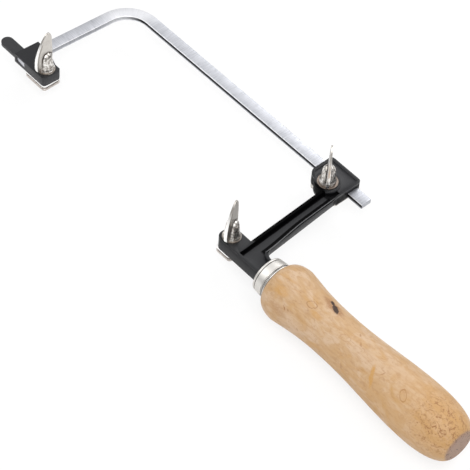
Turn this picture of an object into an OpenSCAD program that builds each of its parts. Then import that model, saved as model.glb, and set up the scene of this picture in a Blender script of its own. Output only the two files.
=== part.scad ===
// Fret saw with a sliding bracket: a flat steel bow, three wing screws and a turned handle.
// The saw lies on its side: +X runs from the front clamp to the butt of the handle,
// +Y from the blade line to the spine of the bow, and +Z up along the wing screws.
// The modules work about the handle's axis, with zero at the front rim of the ferrule.

/* [Bow] */
// Distance between the front and the rear clamp screw
screw_span = 143.4; // [125:0.2:165]
// Depth of the throat, from the blade line to the inner edge of the spine
throat_depth = 64; // [50:0.2:75]
// Width of the steel bar
bar_w = 6.4; // [5:0.1:7]
// Thickness of the steel bar
bar_t = 3; // [2.5:0.1:4]
// Inner radius of the bend between the spine and the front arm
bend_r = 13; // [8:0.5:16]
// How far the front arm leans outwards, in degrees
arm_lean = 3.6; // [0:0.1:6]
// Length of bar that stands out behind the head of the bracket
bar_out = 9.5; // [6:0.1:15]
// Chamfer on the corners of the bar's free end
bar_chamfer = 0.8; // [0.5:0.1:2.5]

/* [Slide bracket] */
// Thickness of the jaw, the neck and the arm
cast_t = 7.6; // [7:0.1:10]
// Width of the rear jaw and the neck
jaw_w = 10.4; // [9:0.1:12]
// Distance from the rear screw to the free end of the jaw
jaw_nose = 5.5; // [5.3:0.1:9]
// Distance from the rear screw to the ferrule
neck_len = 25.3; // [20:0.1:30]
// Radius of the corners at the jaw's free end
jaw_corner_r = 3.4; // [1:0.1:4]
// Width of the arm where it leaves the neck
arm_w = 9.9; // [9:0.1:10.6]
// Thickness of the arm
arm_t = 4.3; // [3.8:0.1:6]
// Gap between the ferrule and the arm, along the neck
arm_gap = 7.3; // [7:0.1:9]
// How far the arm leans towards the front clamp, in degrees
bracket_lean = 2.5; // [0:0.1:4]
// How much more the arm's rear side leans than its front side, in degrees
arm_taper = 1.3; // [0:0.1:1.5]
// Depth of the recess in the top of the arm
web_depth = 3.2; // [1:0.1:3.2]
// Thickness of the web between the two recesses of the neck
web_t = 2.2; // [1.5:0.1:2.6]
// Width of the rims round the recessed web
rim_w = 1.5; // [1:0.1:1.7]
// Width of the arm's rear rim where it leaves the neck
rear_rim_w = 2.1; // [2:0.1:3]
// Radius of the fillet between the arm and the neck
neck_fillet_r = 5; // [2:0.1:7]
// Length of the head along the bar
head_len = 21.1; // [20.6:0.1:25]
// Metal that covers the bar at the top of the head
head_cover = 3.3; // [3.2:0.1:4.4]
// Wall of the bar's channel on the outer side of the spine
channel_wall = 2.3; // [1.6:0.1:3]
// Distance from the middle of the bar to the screw that clamps it
bar_screw_gap = 7.8; // [7.4:0.1:9]
// Distance from the bar's screw to the front side of the head
bar_screw_in = 10.8; // [9.4:0.1:12]
// Diameter of the round boss under the bar's screw
boss_d = 13.4; // [12:0.1:15]
// Radius of the head's corner beside the bar's screw
lug_corner_r = 5; // [3:0.1:6]
// Radius of the head's corners over the bar
head_corner_r = 2; // [1.8:0.1:3]
// Depth of the recess in the top of the head
head_recess = 0.9; // [0.4:0.1:1.4]
// Height of the ring that the washer of the bar's screw lies in
ring_h = 0.5; // [0.2:0.1:1]

/* [Front clamp] */
// Thickness of the front clamp block
block_t = 5.8; // [5.2:0.1:7]
// Metal between the bar and the underside of the block
block_floor = 1.7; // [0.8:0.1:1.9]
// Wall of the block on the outer side of the bar
block_wall = 1.6; // [0.9:0.1:2]
// Width of the block's pad, which clamps the blade
pad_w = 11.2; // [10.6:0.1:12]
// How far the middle of the pad lies nearer to the spine than the rear jaw
pad_lift = 1.7; // [0:0.1:3]
// Distance from the middle of the bar to the front screw
pad_reach = 13.9; // [12.8:0.1:16]
// Length of the bar's socket beyond the pad
socket_rise = 3.5; // [2:0.1:6]
// Chamfer on the pad's corner beside the throat
pad_chamfer = 1.5; // [0.5:0.1:2.5]
// Radius of the pad's corner on the blade side
pad_corner_r = 1.8; // [1:0.1:2.6]
// Distance from the front screw to the free end of the pad
pad_nose = 5; // [4.9:0.1:7]
// Length of the tongue in front of the block
tongue_len = 13.5; // [8:0.1:16]
// Width of the tongue
tongue_w = 6.6; // [5:0.1:8]
// Thickness of the tongue
tongue_t = 2.1; // [1.6:0.1:2.4]
// Height of the tongue's underside above the underside of the block
tongue_step = 2.6; // [1:0.1:2.8]

/* [Clamp screws] */
// Diameter of the screws' threads
thread_d = 5; // [4:0.1:5.6]
// Diameter of the foot of the hub
foot_d = 8.8; // [8.4:0.1:9.2]
// Height of the foot's rim
foot_h = 1; // [0.6:0.1:1.6]
// Diameter of the hub where its dome begins
hub_d = 6.6; // [6.2:0.1:8]
// Height of the hub where its dome begins
hub_h = 7.8; // [7:0.1:11]
// Reach of the wing from the screw's axis
wing_reach = 7.1; // [6:0.1:9]
// Reach of the wing on its far side, beyond the screw's axis
wing_back = 4; // [3.4:0.1:4.6]
// Height of the wing's top above the foot
wing_h = 23.7; // [20:0.1:28]
// Thickness of the wing
wing_t = 1.7; // [1.2:0.1:2.4]
// Thread that stands out below the clamp plates
thread_out = 1.6; // [1.2:0.1:3]
// Direction that the front wing points in, in degrees from the blade line
front_wing_angle = 275; // [0:1:360]
// Direction that the rear wing points in, in degrees from the blade line
rear_wing_angle = 290; // [0:1:360]
// Direction that the wing on the bar's screw points in, in degrees from the blade line
bar_wing_angle = 314; // [0:1:360]

/* [Clamp plates and washers] */
// Diameter of the washers under the two screws that clamp the blade
washer_d = 9.4; // [9.2:0.1:9.8]
// Diameter of the washer under the screw that clamps the bar
bar_washer_d = 10.6; // [9.8:0.1:11.4]
// Thickness of the three washers
washer_t = 0.9; // [0.5:0.1:1.4]
// Thickness of the fixed liners between the castings and the blade
liner_t = 1.1; // [0.8:0.1:1.4]
// Thickness of the two plates that clamp the blade
blade_plate_t = 1.8; // [1.3:0.1:2.4]
// Thickness of the plate that clamps the bar
bar_plate_t = 3; // [2:0.1:3.4]
// Bevel round the upper edge of the clamp plates
plate_bevel = 0.6; // [0.2:0.1:0.8]
// Radius of the corners of the clamp plates
plate_corner_r = 1.8; // [1:0.1:2.4]
// Length of the rear clamp plate
rear_plate_len = 10.4; // [10:0.1:12]
// Diameter of the guide pins of the clamp plates
pin_d = 1.8; // [1.4:0.1:2]
// Length of guide pin above its plate
pin_len = 3; // [2.6:0.1:3.4]

/* [Handle] */
// Length of the ferrule
ferrule_len = 8; // [6:0.1:12]
// Diameter of the ferrule at its front rim
ferrule_front_d = 18.9; // [18:0.1:20]
// How far the ferrule widens between its front rim and the wood, on each side
ferrule_flare = 0.85; // [0.4:0.05:1.4]
// Wall of the ferrule
ferrule_wall = 0.9; // [0.6:0.1:1.4]
// Length of the wooden handle behind the ferrule
handle_len = 118.6; // [100:0.2:135]
// Largest diameter of the handle, near the butt
butt_d = 29.8; // [27:0.1:34]
// Diameter of the front swell of the handle
swell_d = 29.4; // [26:0.1:32]
// Diameter of the handle's waist
waist_d = 24; // [21:0.1:25.6]
// Diameter of the flat face at the end of the butt
butt_face_d = 13; // [8:0.1:18]
// Diameter of the tang
tang_d = 4.6; // [3.6:0.1:5]
// Length of tang inside the handle
tang_len = 52; // [30:1:80]
// Length of the round spigot of the bracket inside the ferrule
spigot_len = 5.4; // [4:0.1:5.4]

/* [Clearances] */
// Radial clearance round threads, screws and pins that turn or slide
run_gap = 0.08; // [0.03:0.01:0.1]
// Clearance of the bar in the head's channel
slide_gap = 0.15; // [0.1:0.01:0.3]
// Gap for the blade between a liner and its clamp plate
blade_gap = 0.4; // [0.1:0.05:0.5]
// Clearance of pieces that are pressed or driven together
press_gap = 0.02; // [0.01:0.01:0.05]

/* [Hidden] */
$fn = 64;

// Overrun of every cut
over = 1;

// Heights: the undersides of the two castings share one plane, which the liners lie on
jaw_top = cast_t / 2;
blade_z = -cast_t / 2;
block_top = blade_z + block_t;
bar_bottom = blade_z + block_floor;
bar_top = bar_bottom + bar_t;
arm_bottom = jaw_top - arm_t;
web_top = jaw_top - web_depth;
web_bottom = web_top - web_t;
head_top = bar_top + head_cover;
// The channel is a little shallower than the bar, so the plate grips the bar first
grip_gap = slide_gap;
head_bottom = bar_bottom + grip_gap;

// Places along the saw
rear_screw_x = -neck_len;
jaw_end_x = rear_screw_x - jaw_nose;
arm_x1 = -arm_gap;
arm_x0 = arm_x1 - arm_w;
arm_back = tan(bracket_lean);
rear_lean = bracket_lean + arm_taper;
rear_back = tan(rear_lean);
front_screw_x = rear_screw_x - screw_span;
pad_x1 = front_screw_x + pad_nose;
front_screw_y = pad_lift;
block_y0 = pad_lift - pad_w / 2;
pad_y1 = pad_lift + pad_w / 2;
lean_rise = tan(arm_lean);
socket_half = (bar_w / 2 + block_wall) / cos(arm_lean);
socket_mid_x = front_screw_x - pad_reach;
socket_x0 = socket_mid_x - socket_half;
socket_x1 = socket_mid_x + socket_half;
tongue_x = socket_x0 - tongue_len;

// Places across the saw
spine_y0 = throat_depth;
spine_mid_y = spine_y0 + bar_w / 2;
spine_y1 = spine_y0 + bar_w;
head_y1 = spine_y1 + channel_wall;
bar_screw_y = spine_mid_y - bar_screw_gap;
head_y0 = bar_screw_y - boss_d / 4;

// The head's rear side carries on from the arm's
head_x1 = arm_x1 - head_y0 * rear_back;
head_x0 = head_x1 - head_len;
bar_screw_x = head_x0 + bar_screw_in;
bar_end_x = head_x1 + bar_out;

// The bend: its centre lies one inner radius from the spine and from the leaning arm
bend_y = spine_y0 - bend_r;
bend_x = socket_mid_x + bend_y * lean_rise + (bend_r + bar_w / 2) / cos(arm_lean);
bend_outer_r = bend_r + bar_w;

// Handle
ferrule_d = ferrule_front_d + 2 * ferrule_flare;
wood_x0 = ferrule_len;
wood_x1 = wood_x0 + handle_len;
spigot_x0 = ferrule_wall;
spigot_x1 = spigot_x0 + spigot_len;
tenon_x0 = spigot_x1 + press_gap;
tang_x0 = spigot_x0 + ferrule_wall;
tang_x1 = wood_x0 + tang_len;

// Corners of the whole saw, for the frame of the part
saw_x0 = tongue_x;
saw_x1 = wood_x1;
saw_y0 = -butt_d / 2;
saw_y1 = head_y1;
saw_z0 = -butt_d / 2;

// Puts the origin under the middle of the saw, on the surface that the handle lies on
module place() {
    translate([-(saw_x0 + saw_x1) / 2, -(saw_y0 + saw_y1) / 2, -saw_z0])
        children();
}

// Block between two corners
module span(low, high) {
    translate(low)
        cube(high - low);
}

// Round hole or pin along Z
module upright(x, y, z0, z1, d) {
    translate([x, y, z0])
        cylinder(h = z1 - z0, d = d);
}

// Rectangle with round corners, between two corners
module round_rect(low, high, r) {
    translate([low.x + r, low.y])
        square([high.x - low.x - 2 * r, high.y - low.y]);
    translate([low.x, low.y + r])
        square([high.x - low.x, high.y - low.y - 2 * r]);
    for (x = [low.x + r, high.x - r])
        for (y = [low.y + r, high.y - r])
            translate([x, y])
                circle(r = r);
}

// Smooth step from zero to one
function ease(u) = u * u * (3 - 2 * u);

// Outline of the wood: a round swell, a long waist, the bulge and a round butt
swell_share = 0.075;
waist_share = 0.355;
bulge_share = 0.79;
butt_power = 2.4;
arc_steps = 9;
flank_steps = 14;
function wood_x(share) = wood_x0 + handle_len * share;
function mix(low, high, share) = low + (high - low) * share;
// Falls fast behind the swell and flattens out at the waist
function fall(v) = 1 - pow(1 - pow(v, 1.25), 3);
function swell_point(a) =
    [mix(ferrule_d, swell_d, sin(a)) / 2, wood_x(swell_share * (1 - cos(a)))];
function flank_point(v) =
    [mix(swell_d, waist_d, fall(v)) / 2, wood_x(mix(swell_share, waist_share, v))];
function bulge_point(v) =
    [mix(waist_d, butt_d, ease(v)) / 2, wood_x(mix(waist_share, bulge_share, v))];
function butt_point(a) =
    [mix(butt_face_d, butt_d, cos(a)) / 2,
        wood_x(mix(bulge_share, 1, pow(sin(a), 2 / butt_power)))];

module handle() {
    color("burlywood")
        place()
            rotate([0, 90, 0])
                rotate_extrude()
                    difference() {
                        union() {
                            translate([0, tenon_x0])
                                square([ferrule_front_d / 2 - ferrule_wall - press_gap, wood_x0 - tenon_x0]);
                            polygon(concat(
                                [[0, wood_x0]],
                                [for (i = [0:arc_steps]) swell_point(90 * i / arc_steps)],
                                [for (i = [1:flank_steps]) flank_point(i / flank_steps)],
                                [for (i = [1:flank_steps]) bulge_point(i / flank_steps)],
                                [for (i = [1:arc_steps]) butt_point(90 * i / arc_steps)],
                                [[0, wood_x1]]));
                        }
                        translate([0, tenon_x0 - over])
                            square([tang_d / 2 + press_gap, tang_x1 + press_gap - tenon_x0 + over]);
                    }
}

// Share of the ferrule's length that its straight front takes, before it widens
ferrule_front_share = 0.3;
ferrule_groove_share = 0.72;
bead_share = 0.1;
module ferrule() {
    bead_r = ferrule_len * bead_share;
    color("gainsboro")
        place()
            rotate([0, 90, 0])
                rotate_extrude()
                    difference() {
                        union() {
                            polygon([
                                [0, 0],
                                [ferrule_front_d / 2 - ferrule_wall / 2, 0],
                                [ferrule_front_d / 2, ferrule_wall / 2],
                                [ferrule_front_d / 2, ferrule_len * ferrule_front_share],
                                [(ferrule_d - ferrule_wall) / 2, ferrule_len * ferrule_groove_share],
                                [(ferrule_d - ferrule_wall) / 2, ferrule_len],
                                [0, ferrule_len]]);
                            translate([ferrule_d / 2 - bead_r, ferrule_len - bead_r])
                                circle(r = bead_r);
                        }
                        translate([0, -over])
                            square([ferrule_front_d / 2 - ferrule_wall, ferrule_len + 2 * over]);
                    }
}

module tang() {
    color("dimgray")
        place()
            translate([tang_x0, 0, 0])
                rotate([0, 90, 0])
                    cylinder(h = tang_x1 - tang_x0, d = tang_d);
}

// Point on a side of the arm that leans by a run for each length across the saw
function leaning(x, y, back) = [x - y * back, y];

// Arm between its front and its rear side, from y0 to y1
module arm_outline(x0, x1, y0, y1, back1) {
    polygon([leaning(x0, y0, arm_back), leaning(x1, y0, back1),
        leaning(x1, y1, back1), leaning(x0, y1, arm_back)]);
}

// Concave corner between a leaning side of the arm and the neck
fillet_steps = 12;
module neck_fillet(x, y, lean, r) {
    corner = leaning(x, y, tan(lean));
    middle = [corner.x + r / cos(lean) - r * tan(lean), corner.y + r];
    polygon(concat(
        [[corner.x - r / 2, corner.y - r / 2]],
        [for (i = [0:fillet_steps])
            let (a = 270 - (90 - lean) * i / fillet_steps)
            [middle.x + r * cos(a), middle.y + r * sin(a)]]));
}

// Outline of the head, set in from its sides, with corners rounded to two radii
module head_outline(inset, lug_r, corner_r) {
    low = [head_x0 + inset, head_y0 + inset];
    high = [head_x1 - inset, head_y1 - inset];
    round_rect(low, high, lug_r);
    round_rect([low.x, bar_screw_y], high, corner_r);
    translate([bar_screw_x, low.y])
        square([high.x - bar_screw_x, bar_screw_y + lug_r - low.y]);
}

// Solid form of the bracket before its recesses are cut
module bracket_form() {
    translate([0, 0, blade_z])
        linear_extrude(cast_t) {
            round_rect([jaw_end_x, -jaw_w / 2], [-jaw_corner_r, jaw_w / 2], jaw_corner_r);
            translate([arm_x0, -jaw_w / 2])
                square([spigot_x0 + press_gap - arm_x0, jaw_w]);
        }
    translate([0, 0, arm_bottom])
        linear_extrude(arm_t) {
            arm_outline(arm_x0, arm_x1, 0, bar_screw_y, rear_back);
            neck_fillet(arm_x1, jaw_w / 2, rear_lean, neck_fillet_r);
        }
    translate([0, 0, head_bottom])
        linear_extrude(head_top - head_bottom)
            head_outline(0, lug_corner_r, head_corner_r);
    upright(bar_screw_x, bar_screw_y, head_bottom, head_top, boss_d);
    translate([spigot_x0, 0, 0])
        rotate([0, 90, 0])
            cylinder(h = spigot_len, d = ferrule_front_d - 2 * (ferrule_wall + press_gap));
}

// Recess in the top of the arm and the neck, which stops at the boss of the bar's screw
web_x0 = arm_x0 + rim_w;
web_x1 = arm_x1 - rear_rim_w;
web_y0 = -jaw_w / 2 + rim_w;
module web_recess() {
    translate([0, 0, web_top])
        linear_extrude(web_depth + over)
            difference() {
                union() {
                    arm_outline(web_x0, web_x1, web_y0, bar_screw_y, arm_back);
                    neck_recess_outline();
                    neck_fillet(web_x1, -web_y0, bracket_lean, neck_fillet_r + rim_w);
                }
                translate([bar_screw_x, bar_screw_y])
                    circle(d = boss_d);
            }
}

// Outline of the recesses of the neck, between its two rims
module neck_recess_outline() {
    translate([web_x0, web_y0])
        square([spigot_x0 - web_x0, -2 * web_y0]);
}

// Recess in the underside of the neck
module neck_recess() {
    translate([0, 0, blade_z - over])
        linear_extrude(web_bottom - blade_z + over)
            neck_recess_outline();
}

// Shallow recess in the top of the head, which leaves a rim and the boss standing
module head_recess_cut() {
    translate([0, 0, head_top - head_recess])
        linear_extrude(head_recess + over)
            difference() {
                head_outline(rim_w, lug_corner_r - rim_w, head_corner_r - rim_w);
                translate([bar_screw_x, bar_screw_y])
                    circle(d = boss_d);
            }
}

module bracket() {
    color("#1c1c1e")
        place()
            difference() {
                bracket_form();
                web_recess();
                neck_recess();
                head_recess_cut();
                // Channel of the bar
                span([head_x0 - over, spine_y0 - slide_gap, head_bottom - over],
                    [head_x1 + over, spine_y1 + slide_gap, bar_top + slide_gap]);
                // Room for the washer inside the ring
                upright(bar_screw_x, bar_screw_y, head_top - ring_h, head_top + over,
                    bar_washer_d + 2 * slide_gap);
                upright(bar_screw_x, bar_screw_y, head_bottom - over, head_top, thread_d + 2 * run_gap);
                upright(rear_screw_x, 0, blade_z - over, jaw_top + over, thread_d + 2 * run_gap);
                upright(rear_pin_x, 0, blade_z - over, blade_z + pin_len + slide_gap, pin_d + 2 * run_gap);
                upright(bar_pin_x, bar_screw_y, head_bottom - over, head_bottom + pin_len + slide_gap,
                    pin_d + 2 * run_gap);
                // Socket of the tang
                translate([tang_x0 - press_gap, 0, 0])
                    rotate([0, 90, 0])
                        cylinder(h = spigot_len + over, d = tang_d + 2 * press_gap);
            }
}

// Point of the bend at a radius and an angle round its centre
bend_steps = 24;
function bend_point(r, a) = [bend_x + r * cos(a), bend_y + r * sin(a)];

// End of an edge of the front arm, cut off level with the block's blade side
function arm_end(r) =
    let (top = bend_point(r, 180 - arm_lean))
    [top.x - (top.y - block_y0) * lean_rise, block_y0];

// Outline of the bent bar, with the corners of its free end cut off
module bow_outline() {
    polygon(concat(
        [[bar_end_x - bar_chamfer, spine_y0],
            [bar_end_x, spine_y0 + bar_chamfer],
            [bar_end_x, spine_y1 - bar_chamfer],
            [bar_end_x - bar_chamfer, spine_y1]],
        [for (i = [0:bend_steps]) bend_point(bend_outer_r, 90 + (90 - arm_lean) * i / bend_steps)],
        [arm_end(bend_outer_r), arm_end(bend_r)],
        [for (i = [bend_steps:-1:0]) bend_point(bend_r, 90 + (90 - arm_lean) * i / bend_steps)]));
}

module bow() {
    color("#b9bec6")
        place()
            difference() {
                translate([0, 0, bar_bottom])
                    linear_extrude(bar_t)
                        bow_outline();
                upright(bow_pin_x, bow_pin_y, bar_bottom - over, bar_top + over, pin_d + 2 * press_gap);
            }
}

// Corner of the front block, which leans with the bar's arm
function block_corner(x, y) = [x + y * lean_rise, y];

// Outline of the front block: a socket for the bar and a pad that clamps the blade
socket_y1 = pad_y1 + socket_rise;
corner_steps = 8;
module block_outline() {
    polygon(concat(
        [block_corner(socket_x0, block_y0)],
        [for (i = [0:corner_steps])
            let (a = 90 * i / corner_steps)
            block_corner(pad_x1 - pad_corner_r * (1 - sin(a)), block_y0 + pad_corner_r * (1 - cos(a)))],
        [block_corner(pad_x1, pad_y1 - pad_chamfer),
            block_corner(pad_x1 - pad_chamfer, pad_y1),
            block_corner(front_screw_x, pad_y1),
            block_corner(socket_x1 + block_wall, socket_y1 - block_wall / 2),
            block_corner(socket_x1, socket_y1),
            block_corner(socket_x0, socket_y1)]));
}

// Round-ended tongue, on the blade side of the block
module tongue_outline() {
    translate([tongue_x + tongue_w / 2, block_y0])
        square([tongue_len, tongue_w]);
    translate([tongue_x + tongue_w / 2, block_y0 + tongue_w / 2])
        circle(d = tongue_w);
}

module front_block() {
    color("#1c1c1e")
        place()
            difference() {
                union() {
                    translate([0, 0, blade_z])
                        linear_extrude(block_t)
                            block_outline();
                    translate([0, 0, blade_z + tongue_step])
                        linear_extrude(tongue_t)
                            tongue_outline();
                }
                // Socket of the bar, open at both ends
                translate([bend_x, bend_y, bar_bottom - press_gap])
                    rotate(-arm_lean)
                        translate([-bend_outer_r - press_gap, -2 * throat_depth, 0])
                            cube([bar_w + 2 * press_gap, 2 * throat_depth, bar_t + 2 * press_gap]);
                upright(front_screw_x, front_screw_y, blade_z - over, block_top + over,
                    thread_d + 2 * run_gap);
                upright(front_pin_x, front_pin_y, blade_z - over, blade_z + pin_len + slide_gap,
                    pin_d + 2 * run_gap);
                upright(bow_pin_x, bow_pin_y, blade_z - over, bow_pin_top + press_gap,
                    pin_d + 2 * press_gap);
            }
}

// Pin driven from below through the block into the bar
bow_pin_y = pad_lift;
bow_pin_x = socket_mid_x + bow_pin_y * lean_rise;
bow_pin_top = (bar_top + block_top) / 2;
module bow_pin() {
    color("silver")
        place()
            upright(bow_pin_x, bow_pin_y, blade_z, bow_pin_top, pin_d);
}

// Outline of the wing: a fin with a full lower corner, a steep far side and a round top.
// The shares are those of its reach to the near side and of its height.
near_side_shares = [[0.78, 0.05], [0.92, 0.08], [0.98, 0.14], [1, 0.22], [0.99, 0.32], [0.955, 0.41],
    [0.88, 0.5], [0.77, 0.59], [0.64, 0.68], [0.49, 0.77], [0.33, 0.85], [0.17, 0.92], [0.02, 0.967]];
// The shares of the far side are those of its reach beyond the axis and of its height
far_side_shares = [[0.2, 0.992], [0.42, 1], [0.64, 0.985], [0.82, 0.94], [0.94, 0.87],
    [1, 0.77], [1, 0.5], [0.95, 0.25], [0.95, 0.05]];
module wing_outline() {
    polygon(concat(
        [for (share = near_side_shares) [wing_reach * share.x, wing_h * share.y]],
        [for (share = far_side_shares) [-wing_back * share.x, wing_h * share.y]]));
}

// Wing screw standing on its washer, with its thread down through the plate
module wing_screw(x, y, seat_z, plate_low, turn) {
    thread_z = plate_low - thread_out;
    translate([x, y, 0]) {
        translate([0, 0, seat_z]) {
            rotate_extrude()
                polygon([
                    [0, 0],
                    [foot_d / 2, 0],
                    [foot_d / 2, foot_h],
                    [(foot_d + hub_d) / 4, foot_h * 2],
                    [hub_d / 2, hub_h],
                    [0, hub_h]]);
            translate([0, 0, hub_h])
                intersection() {
                    sphere(d = hub_d);
                    cylinder(h = hub_d, d = hub_d + over);
                }
            rotate(turn)
                translate([0, wing_t / 2, 0])
                    rotate([90, 0, 0])
                        linear_extrude(wing_t)
                            wing_outline();
        }
        translate([0, 0, thread_z])
            cylinder(h = seat_z - thread_z, d = thread_d);
    }
}

// Washer round a clamp screw
module washer(x, y, z, d) {
    translate([x, y, z])
        difference() {
            cylinder(h = washer_t, d = d);
            translate([0, 0, -over])
                cylinder(h = washer_t + 2 * over, d = thread_d + 4 * run_gap);
        }
}

// Fixed liner under z, with loose holes for the screw and the guide pin
module liner(low, high, z, screw, pin) {
    difference() {
        translate([0, 0, z - liner_t])
            linear_extrude(liner_t)
                round_rect(low, high, plate_corner_r);
        upright(screw.x, screw.y, z - liner_t - over, z + over, thread_d + 2 * run_gap);
        upright(pin.x, pin.y, z - liner_t - over, z + over, pin_d + 2 * run_gap);
    }
}

// Clamp plate under z, with a bevelled upper edge, its thread and the hole of its pin
module clamp_plate(low, high, z, thick, screw, pin) {
    difference() {
        union() {
            translate([0, 0, z - thick])
                linear_extrude(thick - plate_bevel)
                    round_rect(low, high, plate_corner_r);
            translate([0, 0, z - plate_bevel])
                linear_extrude(plate_bevel)
                    round_rect([low.x + plate_bevel / 2, low.y + plate_bevel / 2],
                        [high.x - plate_bevel / 2, high.y - plate_bevel / 2],
                        plate_corner_r - plate_bevel / 2);
        }
        upright(screw.x, screw.y, z - thick - over, z + over, thread_d + 2 * run_gap);
        upright(pin.x, pin.y, z - thick - over, z + over, pin_d + 2 * press_gap);
    }
}

// Guide pin pressed in a plate, reaching up into the casting
module guide_pin(x, y, plate_low, hole_z) {
    upright(x, y, plate_low, hole_z + pin_len, pin_d);
}

// Rear clamp
rear_plate_z = blade_z - liner_t - blade_gap;
rear_plate_low = rear_plate_z - blade_plate_t;
rear_plate_x0 = jaw_end_x + press_gap;
rear_plate_x1 = rear_plate_x0 + rear_plate_len;
rear_pin_x = (rear_plate_x0 + rear_screw_x - thread_d / 2) / 2;
module rear_screw() {
    color("gainsboro")
        place()
            wing_screw(rear_screw_x, 0, jaw_top + washer_t, rear_plate_low, rear_wing_angle);
}
module rear_washer() {
    color("silver")
        place()
            washer(rear_screw_x, 0, jaw_top, washer_d);
}
module rear_liner() {
    color("gainsboro")
        place()
            liner([rear_plate_x0, -jaw_w / 2], [rear_plate_x1, jaw_w / 2],
                blade_z, [rear_screw_x, 0], [rear_pin_x, 0]);
}
module rear_plate() {
    color("gainsboro")
        place()
            clamp_plate([rear_plate_x0, -jaw_w / 2], [rear_plate_x1, jaw_w / 2],
                rear_plate_z, blade_plate_t, [rear_screw_x, 0], [rear_pin_x, 0]);
}
module rear_plate_pin() {
    color("silver")
        place()
            guide_pin(rear_pin_x, 0, rear_plate_low, blade_z);
}

// Front clamp
front_plate_z = blade_z - liner_t - blade_gap;
front_plate_low = front_plate_z - blade_plate_t;
front_plate_x0 = socket_x1 - block_wall;
front_pin_x = (front_plate_x0 + front_screw_x - thread_d / 2) / 2;
front_pin_y = front_screw_y;
module front_screw() {
    color("gainsboro")
        place()
            wing_screw(front_screw_x, front_screw_y, block_top + washer_t, front_plate_low,
                front_wing_angle);
}
module front_washer() {
    color("silver")
        place()
            washer(front_screw_x, front_screw_y, block_top, washer_d);
}
module front_liner() {
    color("gainsboro")
        place()
            liner([front_plate_x0, block_y0], [pad_x1, pad_y1],
                blade_z, [front_screw_x, front_screw_y], [front_pin_x, front_pin_y]);
}
module front_plate() {
    color("gainsboro")
        place()
            clamp_plate([front_plate_x0, block_y0], [pad_x1, pad_y1],
                front_plate_z, blade_plate_t, [front_screw_x, front_screw_y], [front_pin_x, front_pin_y]);
}
module front_plate_pin() {
    color("silver")
        place()
            guide_pin(front_pin_x, front_pin_y, front_plate_low, blade_z);
}

// Clamp of the bar
bar_plate_z = bar_bottom - run_gap;
bar_plate_low = bar_plate_z - bar_plate_t;
bar_seat_z = head_top - ring_h;
bar_plate_y0 = head_y0 + plate_bevel;
bar_pin_x = bar_screw_x - (thread_d + boss_d) / 4;
module bar_screw() {
    color("gainsboro")
        place()
            wing_screw(bar_screw_x, bar_screw_y, bar_seat_z + washer_t, bar_plate_low, bar_wing_angle);
}
module bar_washer() {
    color("silver")
        place()
            washer(bar_screw_x, bar_screw_y, bar_seat_z, bar_washer_d);
}
module bar_plate() {
    color("gainsboro")
        place()
            clamp_plate([head_x0 + rim_w, bar_plate_y0], [head_x1 - rim_w, head_y1 - channel_wall / 2],
                bar_plate_z, bar_plate_t, [bar_screw_x, bar_screw_y], [bar_pin_x, bar_screw_y]);
}
module bar_plate_pin() {
    color("silver")
        place()
            guide_pin(bar_pin_x, bar_screw_y, bar_plate_low, head_bottom);
}

handle();
ferrule();
tang();
bracket();
bow();
front_block();
bow_pin();
front_screw();
front_washer();
front_liner();
front_plate();
front_plate_pin();
rear_screw();
rear_washer();
rear_liner();
rear_plate();
rear_plate_pin();
bar_screw();
bar_washer();
bar_plate();
bar_plate_pin();
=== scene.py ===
import math

import bmesh
import bpy
from mathutils import Matrix, Vector


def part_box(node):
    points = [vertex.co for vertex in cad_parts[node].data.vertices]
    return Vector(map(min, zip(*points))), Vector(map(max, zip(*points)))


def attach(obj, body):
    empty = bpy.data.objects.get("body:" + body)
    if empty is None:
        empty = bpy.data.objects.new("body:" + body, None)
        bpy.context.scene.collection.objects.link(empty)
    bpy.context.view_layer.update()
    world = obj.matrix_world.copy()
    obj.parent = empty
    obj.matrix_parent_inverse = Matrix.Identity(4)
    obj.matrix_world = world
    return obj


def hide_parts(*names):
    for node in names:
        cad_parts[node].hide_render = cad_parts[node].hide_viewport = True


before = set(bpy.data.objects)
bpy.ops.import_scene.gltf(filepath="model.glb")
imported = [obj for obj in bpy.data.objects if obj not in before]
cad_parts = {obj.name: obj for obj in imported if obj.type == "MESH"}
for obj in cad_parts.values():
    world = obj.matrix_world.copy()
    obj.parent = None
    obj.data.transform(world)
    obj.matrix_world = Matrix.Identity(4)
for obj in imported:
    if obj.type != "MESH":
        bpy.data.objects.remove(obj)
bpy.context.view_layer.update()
mm = 0.001


# Node trees

class Graph:
    # a node tree, with one method that adds any node: inputs go by name, or by number as i0, i1 and so on
    # the kinds named here have the shader prefix in every tree
    shared = ("Math", "MapRange", "CombineXYZ", "SeparateXYZ", "VectorMath")

    def __init__(self, tree, prefix):
        self.tree = tree
        self.prefix = prefix

    def put(self, socket, value):
        if isinstance(value, Wire):
            self.tree.links.new(value.socket, socket)
        else:
            socket.default_value = value

    def node(self, kind, settings=None, out=0, **inputs):
        prefix = "ShaderNode" if kind in self.shared else self.prefix
        made = self.tree.nodes.new(prefix + kind)
        for key, value in (settings or {}).items():
            setattr(made, key, value)
        for key, value in inputs.items():
            numbered = key[0] == "i" and key[1:].isdigit()
            self.put(made.inputs[int(key[1:])] if numbered else made.inputs[key.replace("_", " ")], value)
        return Wire(self, made.outputs[out])

    def math(self, operation, *values):
        return self.node("Math", {"operation": operation}, **{"i%d" % i: v for i, v in enumerate(values)})

    def vector(self, operation, a, b=None, scale=None, out=0):
        given = {key: value for key, value in (("i0", a), ("i1", b), ("i3", scale)) if value is not None}
        return self.node("VectorMath", {"operation": operation}, out=out, **given)

    def parts(self, vector):
        # the three numbers of a vector
        made = self.node("SeparateXYZ", i0=vector).socket.node
        return [Wire(self, made.outputs[i]) for i in range(3)]


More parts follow.
